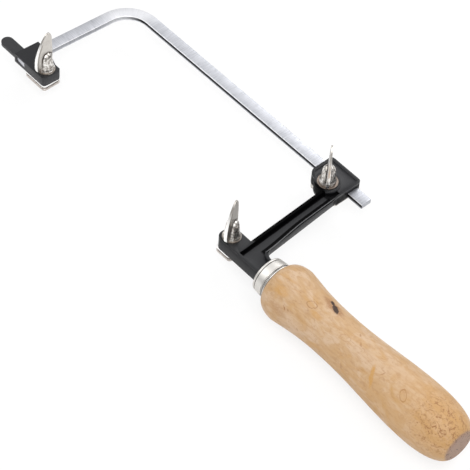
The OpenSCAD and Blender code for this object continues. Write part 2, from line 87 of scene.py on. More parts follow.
class Wire:
    # a socket that Python's operators work on
    def __init__(self, graph, socket):
        self.graph = graph
        self.socket = socket

    def __add__(self, other):
        return self.graph.math("ADD", self, other)

    __radd__ = __add__

    def __sub__(self, other):
        return self.graph.math("SUBTRACT", self, other)

    def __rsub__(self, other):
        return self.graph.math("SUBTRACT", other, self)

    def __mul__(self, other):
        return self.graph.math("MULTIPLY", self, other)

    __rmul__ = __mul__

    def __truediv__(self, other):
        return self.graph.math("DIVIDE", self, other)

    def __rtruediv__(self, other):
        return self.graph.math("DIVIDE", other, self)

    def __pow__(self, other):
        return self.graph.math("POWER", self, other)

    def clamped(self, low=0.0, high=1.0):
        return self.graph.math("MINIMUM", self.graph.math("MAXIMUM", self, low), high)

    def band(self, low, high, start=0.0, end=1.0):
        # runs smoothly from start to end while the value goes from low to high
        return self.graph.node("MapRange", {"interpolation_type": "SMOOTHSTEP"},
                               i0=self, i1=low, i2=high, i3=start, i4=end)

    def between(self, low, full, fading, high):
        # one from full to fading, with a smooth step on either side
        return self.band(low, full) * self.band(fading, high, 1.0, 0.0)


class Finish(Graph):
    # one material
    def __init__(self, name):
        self.material = bpy.data.materials.new(name)
        self.material.use_nodes = True
        super().__init__(self.material.node_tree, "ShaderNode")
        self.tree.nodes.clear()
        self.output = self.tree.nodes.new("ShaderNodeOutputMaterial")

    def blend(self, share, low, high, way="MIX"):
        low, high = [(*c, 1) if isinstance(c, tuple) else c for c in (low, high)]
        return self.node("Mix", {"data_type": "RGBA", "blend_type": way}, out=2, i0=share, i6=low, i7=high)

    def here(self):
        # the shaded point in the object's own coordinates
        return self.node("TexCoord", out=3)

    def place(self, stretch=(1, 1, 1)):
        return self.node("Mapping", i0=self.here(), i3=stretch)

    def noise(self, vector, scale, detail=3.0, rough=0.5, distortion=0.0):
        return self.node("TexNoise", Vector=vector, Scale=scale, Detail=detail, Roughness=rough,
                         Distortion=distortion)

    def bump(self, height, strength, distance):
        return self.node("Bump", Height=height, Strength=strength, Distance=distance)

    def shade(self, **inputs):
        return self.closed(self.node("BsdfPrincipled", **inputs))

    def closed(self, surface):
        self.tree.links.new(surface.socket, self.output.inputs[0])
        return self.material


class Form(Graph):
    # a tree that makes a shape, with a named input for each of its sizes
    def __init__(self, name, sizes):
        super().__init__(bpy.data.node_groups.new(name, "GeometryNodeTree"), "GeometryNode")
        self.sizes = sizes
        self.keys = {}
        face = self.tree.interface
        face.new_socket(name="Shape", in_out="OUTPUT", socket_type="NodeSocketGeometry")
        for key, value in sizes.items():
            kind = "NodeSocketInt" if isinstance(value, int) else "NodeSocketFloat"
            self.keys[key] = face.new_socket(name=key, in_out="INPUT", socket_type=kind).identifier
        self.keys["finish"] = face.new_socket(name="finish", in_out="INPUT",
                                              socket_type="NodeSocketMaterial").identifier
        self.entry = self.tree.nodes.new("NodeGroupInput")

    def size(self, key):
        return Wire(self, self.entry.outputs[key])

    def moved(self, shape, x, y, z):
        return self.node("SetPosition", Geometry=shape, Position=self.node("CombineXYZ", i0=x, i1=y, i2=z))

    def grow(self, name, shape, finish):
        # ends the tree, gives it its sizes and turns the result into a plain mesh
        whole = self.node("RealizeInstances", Geometry=shape)
        whole = self.node("SetMaterial", Geometry=whole, Material=self.size("finish"))
        self.tree.links.new(whole.socket, self.tree.nodes.new("NodeGroupOutput").inputs[0])
        piece = pieceFrom(name, [], [])
        maker = piece.modifiers.new("maker", "NODES")
        maker.node_group = self.tree
        for key, value in self.sizes.items():
            maker[self.keys[key]] = value
        maker[self.keys["finish"]] = finish
        return baked(piece, name)


# Meshes

def pieceFrom(name, verts, faces):
    mesh = bpy.data.meshes.new(name)
    mesh.from_pydata([tuple(v) for v in verts], [], faces)
    mesh.update()
    piece = bpy.data.objects.new(name, mesh)
    bpy.context.collection.objects.link(piece)
    return piece


def smoothShaded(piece, angle=32.0):
    mesh = piece.data
    mesh.polygons.foreach_set("use_smooth", [True] * len(mesh.polygons))
    mesh.set_sharp_from_angle(angle=math.radians(angle))
    mesh.update()
    return piece


def baked(piece, name):
    # the evaluated shape as a plain mesh, with the modifiers gone
    shape = bpy.data.meshes.new_from_object(piece.evaluated_get(bpy.context.evaluated_depsgraph_get()))
    shape.name = name
    old = piece.data
    piece.modifiers.clear()
    piece.data = shape
    bpy.data.meshes.remove(old)
    return piece


def dressed(piece, material, body, *nodes):
    # one finish, the body that the piece moves with, and the solids that it stands for
    piece.data.materials.clear()
    piece.data.materials.append(material)
    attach(piece, body)
    if nodes:
        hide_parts(*nodes)
    return piece


def solidCopy(name, node):
    # the CAD node's faces, joined, with each flat region made one face
    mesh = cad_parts[node].data.copy()
    mesh.name = name
    form = bmesh.new()
    form.from_mesh(mesh)
    bmesh.ops.remove_doubles(form, verts=form.verts, dist=0.002 * mm)
    bmesh.ops.dissolve_limit(form, angle_limit=math.radians(0.5), verts=form.verts, edges=form.edges)
    form.to_mesh(mesh)
    form.free()
    piece = bpy.data.objects.new(name, mesh)
    bpy.context.collection.objects.link(piece)
    return piece


def eased(piece, name, width, segments=3, angle=35.0):
    # hard edges rounded off
    edge = piece.modifiers.new("edge", "BEVEL")
    edge.width = width
    edge.segments = segments
    edge.limit_method = "ANGLE"
    edge.angle_limit = math.radians(angle)
    edge.miter_outer = "MITER_ARC"
    return smoothShaded(baked(piece, name))


def boxOf(node):
    return [Vector(v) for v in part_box(node)]


# Black castings: satin paint, with painted light and shade on the arm's rims, its recess and the head

casting = {
    "colour": (0.0195, 0.020, 0.022),
    # painted lighter, as lit: the casting below the rims
    "web": (0.0330, 0.0335, 0.036),
    # a painted highlight: the pale line along the rear rim and on the head
    "ridgeHighlight": (0.105, 0.106, 0.110),
    # the head's floor, painted lighter, as lit
    "head": (0.0310, 0.0310, 0.0340),
    "roughness": 0.30,
    "specular": 0.20,
    "shaded": (0.0010, 0.0010, 0.0012),
    "shadedRoughness": 0.50,
    "shadedSpecular": 0.04,
    "grain": 900.0,  # per metre
    "patches": 60.0,
    "lean": 2.5,  # of the arm, in degrees
    # in mm, where the arm's front side and the rear rim's inner edge would meet the handle's axis
    "frontSide": 19.95,
    "innerEdge": 27.75,
    "innerCurve": 1.5,  # how far that edge swings out near the neck
    # steps and spans in mm: a span rises over its first two numbers and falls over its last two
    "bracketLeft": (-20.0, -10.0),
    "armLength": (-23.2, -21.7, 25.0, 26.0),
    "curveLength": (-21.0, 6.0),
    "wallLength": (-33.0, -32.0, 0.0, 1.0),
    "headStart": (24.0, 25.0),
    "neckEnd": (-34.0, -33.8),
    "webHeight": (16.2, 17.0),
    "wallHeight": (14.0, 14.2, 18.45, 18.6),
    "rimHeight": (18.2, 18.4),
    "neckHeight": (18.3, 18.6),
    "headFloor": (17.9, 18.1, 18.65, 18.75),
    "headLine": (18.68, 18.76, 18.96, 19.04),
    "headSide": (17.6, 17.9),
    "frontWallShade": (1.15, 1.35, 2.1, 2.4),
    "rearWall": (-3.4, -3.0, -0.05, 0.1),
    "rearRim": (-2.2, -2.0),
    "firstLine": (-0.05, 0.1),
    "ridgeLine": (-0.05, 0.1, 0.45, 0.6),
    "secondLine": (0.45, 0.6, 0.95, 1.15),
}


def blackCasting():
    g = Finish("blackCasting")
    c = casting
    place = g.place()
    x, y, z = [part / mm for part in g.parts(g.here())]
    skin = g.noise(place, c["grain"], 4.0, 0.6)
    patches = g.noise(place, c["patches"], 2.0)
    bracketOnly = x.band(*c["bracketLeft"])
    onArm = y.between(*c["armLength"]) * bracketOnly
    # distances from the arm's front side and from the inner edge of its rear rim
    leaning = (y - axisPoint.y / mm) * math.tan(math.radians(c["lean"])) + x
    inFront = leaning - c["frontSide"]
    inner = leaning - c["innerEdge"] - y.band(*c["curveLength"], c["innerCurve"], 0.0)
    # below the rims' height the casting, its recess floor with it, is painted lighter, as lit
    colour = g.blend(z.band(*c["webHeight"]), c["web"], c["colour"])
    # painted shade makes the front rim black, and a painted highlight runs as a thin pale line along the
    # rear rim between two lines of painted shade
    frontRimShade = inFront.band(*c["frontWallShade"][2:], 1.0, 0.0) * z.band(*c["wallHeight"][:2]) * onArm
    frontWallShade = inFront.between(*c["frontWallShade"]) * z.between(*c["wallHeight"]) * y.between(*c["wallLength"])
    onRim = z.band(*c["rimHeight"]) * inner.band(*c["rearRim"]) * onArm
    shadeLines = inner.band(*c["firstLine"], 1.0, 0.0) + inner.between(*c["secondLine"])
    wallShade = inner.between(*c["rearWall"]) * z.band(*c["rimHeight"], 1.0, 0.0) * onArm
    colour = g.blend(inner.between(*c["ridgeLine"]) * onRim, colour, c["ridgeHighlight"])
    # the head's floor inside its rim is painted lighter, as lit, with a painted highlight line, and its
    # sides get painted shade
    onHead = y.band(*c["headStart"]) * bracketOnly
    colour = g.blend(onHead * z.between(*c["headFloor"]), colour, c["head"])
    colour = g.blend(onHead * z.between(*c["headLine"]), colour, c["ridgeHighlight"])
    headSide = onHead * z.band(*c["headSide"], 0.8, 0.0)
    # painted shade on the neck's side faces
    neckSideShade = bracketOnly * y.band(*c["neckEnd"], 0.5, 0.0) * z.band(*c["neckHeight"], 1.0, 0.0)
    # all of these masks are painted shade, where the near-black surface is mixed in
    dark = (frontRimShade + frontWallShade * bracketOnly + shadeLines * onRim + wallShade + headSide + neckSideShade).clamped()
    relief = g.bump(skin, 0.35, 0.12 * mm)
    painted = g.node("BsdfPrincipled", Base_Color=colour, Roughness=c["roughness"] + 0.14 * patches,
                     Normal=relief, Specular_IOR_Level=c["specular"])
    shaded = g.node("BsdfPrincipled", Base_Color=(*c["shaded"], 1), Roughness=c["shadedRoughness"],
                    Normal=relief, Specular_IOR_Level=c["shadedSpecular"])
    return g.closed(g.node("MixShader", i0=dark, i1=painted, i2=shaded))


# Steel of the bow, brushed across its width, with painted shade as a dark line under its inner edge and a
# painted highlight along that edge

bowSteel = {
    "light": (0.60, 0.61, 0.65),
    "dark": (0.38, 0.39, 0.42),
    # a painted highlight, for the bar's top edge and the bend
    "edge": (0.95, 0.95, 0.97),
    # painted shade, for the dark line on the bar's sides
    "line": (0.003, 0.004, 0.006),
    "metallic": 0.85,
    "roughness": 0.38,
    "fineMarks": (2600.0, 60.0),  # per metre, along the bow and across it
    "coarseMarks": (1300.0, 60.0),
    "broadMarks": (180.0, 30.0),
    "bendSheen": 0.5,
    # steps and spans in mm, as for the castings
    "side": (2.95, 3.1),
    "shadeLineHeight": (13.45, 13.95, 15.35, 15.6),
    "highlightHeight": (15.45, 15.65),
    "dullEnd": (10.0, 24.0),
    "bend": (155.0, 168.0, 182.0, 195.0),
    "shadeLineEnd": (165.0, 180.0),
}


def brushedBow():
    g = Finish("brushedBow")
    b = bowSteel
    along, across = [g.node("Attribute", {"attribute_name": key}, out=2) for key in ("along", "across")]
    height = g.parts(g.here())[2] / mm
    place = along / mm

    def brushed(scales, detail, rough=0.5):
        path = g.node("CombineXYZ", i0=along * scales[0], i1=across * scales[1], i2=0.0)
        return g.noise(path, 1.0, detail, rough)

    marks = brushed(b["fineMarks"], 5.0, 0.7)
    broad = brushed(b["broadMarks"], 2.0)
    coarse = brushed(b["coarseMarks"], 3.0)
    tone = (0.8 * marks + 0.2 * broad).band(0.36, 0.62)
    colour = g.blend(tone, b["dark"], b["light"])
    # the free end is duller, and the bend gets a painted sheen
    dull = place.band(*b["dullEnd"], 1.0, 0.0) * coarse.band(0.38, 0.60, 0.45, 1.0)
    colour = g.blend(dull, colour, b["dark"])
    colour = g.blend(b["bendSheen"] * place.between(*b["bend"]), colour, b["edge"])
    # on the bar's sides, a dark line of painted shade and a painted highlight along the edge above it
    side = (g.math("ABSOLUTE", across) / mm).band(*b["side"])
    line = height.between(*b["shadeLineHeight"]) * side * place.band(*b["shadeLineEnd"], 1.0, 0.35)
    colour = g.blend(line, colour, b["line"])
    colour = g.blend(height.band(*b["highlightHeight"]) * side, colour, b["edge"])
    rough = b["roughness"] + 0.14 * marks - 0.06 * broad
    return g.shade(Base_Color=colour, Metallic=b["metallic"], Roughness=rough,
                   Normal=g.bump(marks, 0.12, 0.06 * mm))


# Nickel plate, cast and polished by hand, so it is a little uneven, and brown near the feet as a painted
# reflection

nickel = {
    "colour": (0.56, 0.535, 0.50),
    "footReflection": (0.20, 0.150, 0.120),
    # painted shade, in the crease where hub meets wing and beside the wing's bright edge
    "creaseShade": (0.040, 0.028, 0.022),
    # near white: light spots on the cast hub, and the painted highlight on the wing's edge
    "bright": (0.97, 0.96, 0.94),
    "pit": (0.060, 0.046, 0.038),
    "haze": 320.0,  # per metre
    "marks": 900.0,
    "waves": 300.0,
    "spots": 950.0,
    "footHeight": (19.0, 22.0),  # in mm
}


def nickelPlate(name, roughness, uneven, footReflectionShare):
    g = Finish(name)
    n = nickel
    place = g.place()
    height = g.parts(g.here())[2] / mm
    haze = g.noise(place, n["haze"], 4.0, 0.65, 0.8)
    marks = g.noise(place, n["marks"], 4.0, 0.6)
    waves = g.noise(place, n["waves"], 2.0)
    spots = g.noise(place, n["spots"], 2.0, 0.5)
    # a brown painted reflection, mottled, near the feet
    foot = height.band(*n["footHeight"], 0.75, 0.15) * footReflectionShare
    colour = g.blend(haze.band(0.42, 0.68) * foot, n["colour"], n["footReflection"])
    # what the wing screws' shapes note down: the crease at the hub, where shade is painted, the cast hub,
    # and the wing's edge, where a highlight is painted
    creaseShade, hub, edge, low = [g.node("Attribute", {"attribute_name": key}, out=2)
                              for key in ("creaseShade", "hub", "edge", "low")]
    colour = g.blend(hub * spots.band(0.50, 0.60, 0.0, 0.55), colour, n["pit"])
    colour = g.blend(hub * spots.band(0.38, 0.46, 0.55, 0.0), colour, n["bright"])
    # painted shade in the crease where the wing meets the hub
    colour = g.blend(creaseShade * haze.band(0.35, 0.5, 0.55, 0.95), colour, n["creaseShade"])
    # a painted highlight on the wing's edge, low down, with a thin line of painted shade beside it
    colour = g.blend(edge.band(0.60, 0.85) * low, colour, n["bright"])
    colour = g.blend(0.5 * edge.between(0.10, 0.20, 0.40, 0.55) * low, colour, n["creaseShade"])
    relief = waves + 0.2 * marks + hub * spots * 1.2
    return g.shade(Base_Color=colour, Metallic=1.0, Roughness=roughness + 0.16 * marks,
                   Normal=g.bump(relief, uneven, 0.3 * mm))


# The clamps' plates: painted shade makes the blade's gap read as one dark line between two bright plates,
# and the plates above the gap are painted lighter, as lit

plateLook = {
    "upper": (0.92, 0.91, 0.90),
    "lower": (0.52, 0.475, 0.445),
    "shade": (0.050, 0.042, 0.038),
    "roughness": 0.28,
    "marks": 900.0,  # per metre
    "meeting": 0.1,  # half of the height in mm over which the two tones meet
    "gapShade": (-0.45, -0.25, 0.05, 0.25),  # mm, two from the gap's foot and two from its top
}


def grippingPlate(low, high):
    g = Finish("grippingPlate")
    p = plateLook
    height = g.parts(g.here())[2] / mm
    marks = g.noise(g.place(), p["marks"], 3.0, 0.6)
    low, high = low / mm, high / mm
    middle = (low + high) / 2
    # above the gap the plates are painted lighter, as lit, and the gap gets painted shade
    colour = g.blend(height.band(middle - p["meeting"], middle + p["meeting"]), p["lower"], p["upper"])
    below, full, fading, above = p["gapShade"]
    shade = height.between(low + below, low + full, high + fading, high + above)
    colour = g.blend(shade, colour, p["shade"])
    return g.shade(Base_Color=colour, Metallic=1.0, Roughness=p["roughness"] + 0.16 * marks,
                   Normal=g.bump(marks, 0.08, 0.2 * mm))


# The ferrule's plate: turned, with painted shade as dark lines at its grooves and at the seam with the wood

collarLook = {
    "colour": (0.68, 0.66, 0.63),
    "grooveShade": (0.025, 0.022, 0.020),
    "roughness": 0.40,
    "turning": (2200, 60, 60),  # marks per metre along X, Y and Z
    "grooves": (1.35, 6.3, 7.05),  # mm from the front rim
    "grooveEdge": (0.08, 0.24),  # mm from a groove's middle
    "seamShade": (7.52, 7.62),  # mm from the front rim
}


def collarPlate(start):
    g = Finish("collarPlate")
    place = (g.parts(g.here())[0] - start) / mm
    turned = g.noise(g.place(collarLook["turning"]), 1.0, 3.0, 0.6)
    # painted shade: dark lines at the grooves and at the seam
    dark = place.band(*collarLook["seamShade"])
    for grooveShade in collarLook["grooves"]:
        offset = g.math("ABSOLUTE", place - grooveShade)
        dark = g.math("MAXIMUM", dark, offset.band(*collarLook["grooveEdge"], 1.0, 0.0))
    colour = g.blend(dark, collarLook["colour"], collarLook["grooveShade"])
    return g.shade(Base_Color=colour, Metallic=1.0, Roughness=collarLook["roughness"] + 0.12 * turned,
                   Normal=g.bump(turned, 0.1, 0.08 * mm))


# Plain steel for the small parts, as colour and roughness

steelLook = {
    "threadSteel": ((0.55, 0.52, 0.48), 0.30),
    "washerSteel": ((0.44, 0.395, 0.355), 0.26),
    "darkWasher": ((0.270, 0.225, 0.195), 0.32),
    "pinSteel": ((0.60, 0.61, 0.63), 0.30),
    "rodSteel": ((0.30, 0.30, 0.31), 0.40),
}


def plainSteel(name, colour, roughness):
    g = Finish(name)
    marks = g.noise(g.place((1, 1, 6)), 1500.0, 3.0, 0.6)
    return g.shade(Base_Color=g.blend(marks, tuple(c * 0.8 for c in colour), colour), Metallic=1.0,
                   Roughness=roughness + 0.15 * marks, Normal=g.bump(marks, 0.1, 0.05 * mm))


steels = {name: plainSteel(name, *look) for name, look in steelLook.items()}


# Wood: mottled and pale, with knots, a few rings and streaks, and burr marks at the butt

woodLook = {
    "base": (0.500, 0.322, 0.172),
    "pale": (0.550, 0.388, 0.255),
    "orange": (0.485, 0.280, 0.105),
    "shade": (0.385, 0.215, 0.095),
    "honey": (0.500, 0.270, 0.080),
    "brown": (0.285, 0.120, 0.036),
    "knot": (0.036, 0.013, 0.005),
    "butt": (0.300, 0.190, 0.135),
    "roughness": 0.44,
    "specular": 0.4,
    "fibres": (90, 1100, 1100),  # per metre along X, Y and Z
    "figure": (70, 120, 120),
    "clouds": (45, 90, 90),
    "mottle": (300, 480, 480),
    "pores": (420, 1700, 1700),
    "markDepth": 4.0,  # mm into the wood
    "straying": 1.6,  # of the marks' outlines, in mm
    "honeyRise": (50.0, 105.0),  # mm from the ferrule
    # painted shade at the seam with the ferrule
    "seamShade": (0.35, 0.9),  # mm from the ferrule
    "endGrain": (0.2, 1.1),  # mm from the butt's face
    "burrPlace": (109.3, 108, 11.9),  # as a mark's end
    "burrReach": (4.0, 20.0),  # mm from that place
}

# each mark: its two ends, its half width in mm, its colour, its strength and its kind
# an end is its mm from the ferrule, its degrees round the axis and its mm from the axis
woodMarks = [
    ((7.6, 127, 14.6), (13.1, 125, 14.1), 2.6, "honey", 0.7, "spot"),
    ((11.0, 159, 14.5), (16.1, 163, 13.7), 3.5, "shade", 0.6, "spot"),
    ((15.1, 145, 13.8), (16.6, 151, 13.6), 0.5, "brown", 0.9, "spot"),
    ((17.5, 146, 13.4), (18.4, 148, 13.3), 0.4, "brown", 0.6, "spot"),
    ((24.1, 108, 12.6), (26.1, 104, 12.5), 1.7, "brown", 0.65, "ring"),
    ((27.4, 115, 12.3), (33.1, 118, 12.0), 1.8, "honey", 0.6, "spot"),
    ((26.4, 68, 12.3), (37.9, 74, 12.0), 3.0, "brown", 0.75, "spot"),
    ((29.3, 62, 12.3), (31.1, 66, 12.0), 1.2, "knot", 1.5, "spot"),
    ((32.1, 69, 12.1), (35.3, 77, 12.0), 1.5, "knot", 2.2, "spot"),
    ((25.4, 171, 12.4), (26.3, 174, 12.5), 0.5, "brown", 0.5, "spot"),
    ((46.8, 111, 12.0), (49.9, 110, 12.1), 1.5, "brown", 0.3, "ring"),
    ((51.1, 81, 12.1), (52.6, 86, 12.2), 0.4, "brown", 0.6, "spot"),
    ((54.9, 95, 12.3), (56.9, 103, 12.5), 0.5, "brown", 0.5, "spot"),
    ((53.9, 162, 12.4), (55.1, 169, 12.4), 0.9, "brown", 0.4, "spot"),
    ((68.2, 113, 13.4), (72.9, 151, 13.9), 1.5, "honey", 1.0, "spot"),
    ((73.2, 120, 13.8), (74.7, 110, 13.9), 0.4, "brown", 0.6, "spot"),
    ((75.3, 120, 14.0), (76.8, 123, 14.1), 0.7, "brown", 0.35, "spot"),
    ((87.2, 116, 14.8), (89.2, 124, 14.8), 1.8, "brown", 0.7, "ring"),
    ((100.8, 110, 14.6), (103.3, 111, 14.5), 0.6, "brown", 0.45, "spot"),
]


def onWood(along, degrees, radius):
    turn = math.radians(degrees)
    return Vector((handleTurning["start"] + along * mm, axisPoint.y + radius * mm * math.cos(turn),
                   axisPoint.z + radius * mm * math.sin(turn)))


def markShare(g, here, start, end, half, kind):
    # how much of a mark a point has: a long spot on the surface, or a thin ring
    start, end = onWood(*start), onWood(*end)
    middle = (start + end) / 2
    along = (end - start).normalized()
    outward = Vector((0, middle.y - axisPoint.y, middle.z - axisPoint.z)).normalized()
    side = along.cross(outward).normalized()
    reach = (end - start).length / 2 + half * mm
    offset = g.vector("SUBTRACT", here, tuple(middle))
    squares = []
    for way, size in ((along, reach), (side, half * mm), (outward, woodLook["markDepth"] * mm)):
        share = g.vector("DOT_PRODUCT", offset, tuple(way / size), out=1)
        squares.append(share * share)
    distance = (squares[0] + squares[1] + squares[2]) ** 0.5
    if kind == "ring":
        return g.math("ABSOLUTE", distance - 0.9).band(0.04, 0.16, 1.0, 0.0)
    return distance.band(0.45, 1.05, 1.0, 0.0)


def paleWood(start, end):
    g = Finish("paleWood")
    w = woodLook
    here = g.here()
    x = g.parts(here)[0]
    fromFerrule = (x - start) / mm
    fibres = g.noise(g.place(w["fibres"]), 1.0, 5.0, 0.65)
    figure = g.noise(g.place(w["figure"]), 1.0, 3.0, 0.6, 1.2)
    clouds = g.noise(g.place(w["clouds"]), 1.0, 4.0, 0.6, 1.5)
    mottle = g.noise(g.place(w["mottle"]), 1.0, 4.0, 0.65, 0.6)
    pores = g.noise(g.place(w["pores"]), 1.0, 2.0, 0.5)
    colour = g.blend(figure.band(0.40, 0.60), w["base"], w["pale"])
    colour = g.blend(clouds.band(0.45, 0.68, 0.0, 0.75), colour, w["orange"])
    colour = g.blend(mottle.band(0.30, 0.50, 0.50, 0.0), colour, w["shade"])
    colour = g.blend(fibres.band(0.30, 0.55, 0.35, 0.0), colour, w["shade"])
    colour = g.blend(pores.band(0.60, 0.75, 0.0, 0.35), colour, w["brown"])
    # the marks, with outlines that stray a little
    bent = g.node("TexNoise", out=1, Vector=here, Scale=420.0, Detail=2.0)
    stray = g.vector("SCALE", g.vector("SUBTRACT", bent, (0.5, 0.5, 0.5)), scale=w["straying"] * mm)
    nearby = g.vector("ADD", here, stray)
    wobble = g.noise(here, 1500.0, 2.0).band(0.25, 0.6, 0.5, 1.0)
    for first, last, half, tone, strength, kind in woodMarks:
        share = markShare(g, nearby, first, last, half, kind) * strength
        colour = g.blend(share * wobble, colour, w[tone])
    # burr marks at the butt, the end grain, and painted shade at the seam with the ferrule
    colour = g.blend(fromFerrule.band(*w["honeyRise"], 0.0, 0.28), colour, w["honey"])
    burr = g.noise(here, 400.0, 4.0, 0.65, 1.8)
    distance = g.vector("DISTANCE", here, tuple(onWood(*w["burrPlace"])), out=1) / mm
    near = distance.band(*w["burrReach"], 1.0, 0.0)
    colour = g.blend(near * 0.35, colour, w["honey"])
    colour = g.blend(burr.band(0.46, 0.62, 0.0, 0.95) * near, colour, w["shade"])
    colour = g.blend(burr.band(0.54, 0.63, 0.0, 0.8) * near, colour, w["brown"])
    endGrain = ((end - x) / mm).band(*w["endGrain"], 1.0, 0.0)
    colour = g.blend(endGrain, colour, w["butt"])
    colour = g.blend(burr.band(0.56, 0.64) * endGrain * 0.8, colour, w["knot"])
    colour = g.blend(fromFerrule.band(*w["seamShade"], 0.95, 0.0), colour, w["knot"])
    return g.shade(Base_Color=colour, Roughness=w["roughness"] + 0.18 * fibres,
                   Normal=g.bump(fibres + 0.6 * figure, 0.16, 0.1 * mm), Specular_IOR_Level=w["specular"])


print("finishes and mesh tools ready")

# The handle: wood turned to a rule, as a tube of rings whose radius follows its place along the axis

ferruleBox = boxOf("ferrule")
handleBox = boxOf("handle")
axisPoint = (ferruleBox[0] + ferruleBox[1]) / 2

handleTurning = {
    "start": ferruleBox[1].x,
    "length": handleBox[1].x - ferruleBox[1].x,
    "axisY": axisPoint.y,
    "axisZ": axisPoint.z,
    "startRadius": 10.15 * mm,
    "swellRadius": 14.68 * mm,
    "waistRadius": 12.0 * mm,
    "bulgeRadius": 14.88 * mm,
    "faceRadius": 6.5 * mm,
    "swellShare": 0.075,
    "waistShare": 0.355,
    "bulgeShare": 0.79,
    "flankStart": 1.25,  # powers that shape the flank at the swell, the flank at the waist, and the butt
    "flankEnd": 3.0,
    "buttPower": 2.4,
    "rings": 220,
    "sides": 144,
}


def turnedHandle(finish):
    g = Form("turnedHandle", handleTurning)
    tube = g.node("MeshCylinder", {"fill_type": "NGON"}, Vertices=g.size("sides"),
                  Side_Segments=g.size("rings"), Radius=1.0, Depth=1.0)
    px, py, pz = g.parts(g.node("InputPosition"))
    # share of the length: rings lie closer together towards both ends
    share = (1.0 - g.math("COSINE", (pz + 0.5) * math.pi)) * 0.5
    swellAt, waistAt, bulgeAt = [g.size(key) for key in ("swellShare", "waistShare", "bulgeShare")]
    swellRadius, waistRadius, bulgeRadius = [g.size(key) for key in ("swellRadius", "waistRadius",
                                                                     "bulgeRadius")]
    swell = 1.0 - (share / swellAt).clamped()
    flank = ((share - swellAt) / (waistAt - swellAt)).clamped()
    bulge = ((share - waistAt) / (bulgeAt - waistAt)).clamped()
    butt = ((share - bulgeAt) / (1.0 - bulgeAt)).clamped()
    radius = g.size("startRadius") + (swellRadius - g.size("startRadius")) * (1.0 - swell * swell) ** 0.5
    fall = 1.0 - (1.0 - flank ** g.size("flankStart")) ** g.size("flankEnd")
    radius = radius - (swellRadius - waistRadius) * fall
    radius = radius + (bulgeRadius - waistRadius) * bulge * bulge * (3.0 - 2.0 * bulge)
    rounding = 1.0 - (1.0 - butt ** g.size("buttPower")).clamped() ** 0.5
    radius = radius - (bulgeRadius - g.size("faceRadius")) * rounding
    shape = g.moved(tube, g.size("start") + g.size("length") * share,
                    g.size("axisY") + radius * px, g.size("axisZ") + radius * py)
    return smoothShaded(g.grow("turnedHandle", shape, finish), angle=50.0)


wood = paleWood(handleTurning["start"], handleBox[1].x)
dressed(turnedHandle(wood), wood, "grip", "handle")
print("handle turned")

# The ferrule: a thin cup with a rolled rim, two grooves and a bead at the wood

ferruleTurning = {
    "wall": 0.9 * mm,
    "frontRadius": 9.45 * mm,
    "backRadius": 10.3 * mm,
    "beadRadius": 0.8 * mm,
    "length": ferruleBox[1].x - ferruleBox[0].x,
    "lip": 0.55,  # rounding of the front rim, as a share of the wall
    # the outside: rise over the front radius and distance from the front rim, in mm
    "outside": ((-0.02, 1.1), (-0.20, 1.25), (-0.20, 1.45), (0.06, 1.65), (0.22, 2.6), (0.42, 4.4),
                (0.48, 5.6), (0.26, 5.75), (0.26, 5.95), (0.40, 6.1)),
    "sides": 128,
}


def ferruleProfile():
    # the section of the wall, as radius and place along the axis
    t = ferruleTurning
    start = ferruleBox[0].x
    wall = t["wall"]
    front = t["frontRadius"]
    back = t["backRadius"]
    bead = t["beadRadius"]
    points = [(front - wall, start + 0.25 * wall), (front - 0.75 * wall, start)]
    for degrees in range(0, 91, 15):
        a = math.radians(degrees)
        points.append((front - t["lip"] * wall * (1 - math.sin(a)),
                       start + t["lip"] * wall * (1 - math.cos(a))))
    for rise, along in t["outside"]:
        points.append((front + rise * mm, start + along * mm))
    middle = start + t["length"] - bead
    for degrees in (60, 40, 20, 0, -20, -40, -60, -80):
        a = math.radians(degrees)
        points.append((back - bead + bead * math.cos(a) - 0.02 * mm, middle - bead * math.sin(a)))
    points.append((front - wall, start + t["length"]))
    return points


def ferruleCup():
    profile = ferruleProfile()
    count = len(profile)
    sides = ferruleTurning["sides"]
    verts = []
    faces = []
    for k in range(sides):
        a = 2 * math.pi * k / sides
        verts += [(x, axisPoint.y + r * math.cos(a), axisPoint.z + r * math.sin(a)) for r, x in profile]
        n = (k + 1) % sides
        for i in range(count):
            j = (i + 1) % count
            faces.append((k * count + i, k * count + j, n * count + j, n * count + i))
    piece = pieceFrom("ferruleCup", verts, faces)
    form = bmesh.new()
    form.from_mesh(piece.data)
    bmesh.ops.recalc_face_normals(form, faces=form.faces)
    form.to_mesh(piece.data)
    form.free()
    return smoothShaded(piece, angle=40.0)


dressed(ferruleCup(), collarPlate(ferruleBox[0].x), "grip", "ferrule")

# The castings keep their solids' shapes, with eased edges

castEasing = 0.35 * mm
black = blackCasting()
for name, node, body in (("castBracket", "bracket", "grip"), ("castBlock", "front_block", "bow_frame")):
    dressed(eased(solidCopy(name, node), name, castEasing), black, body, node)
print("castings eased")

# The bow: a flat bar swept along its bent path

bowBox = boxOf("bow")
barWidth = 6.4 * mm
bendLean = math.radians(3.6)
bowPath = {
    "startX": bowBox[1].x,
    "startY": bowBox[1].y - barWidth / 2,
    "middleZ": (bowBox[0].z + bowBox[1].z) / 2,
    "barWidth": barWidth,
    "barThickness": bowBox[1].z - bowBox[0].z,
    "edgeRadius": 0.3 * mm,
    "bendRadius": 13 * mm + barWidth / 2,
    "bendAngle": math.pi / 2 - bendLean,
    "points": 420,
}
# the arm ends level with the side of its block, and the spine is as long as the bow's box asks
armDrop = bowPath["startY"] - bowBox[0].y - bowPath["bendRadius"] * (1 - math.sin(bendLean))
bowPath["armLength"] = armDrop / math.cos(bendLean) - barWidth / 2 * math.tan(bendLean)
outerEdge = bowPath["armLength"] + barWidth * math.tan(bendLean)
reach = (bowPath["bendRadius"] + barWidth / 2) * math.cos(bendLean) + outerEdge * math.sin(bendLean)
bowPath["spineLength"] = bowBox[1].x - bowBox[0].x - reach
bowEasing = 0.25 * mm


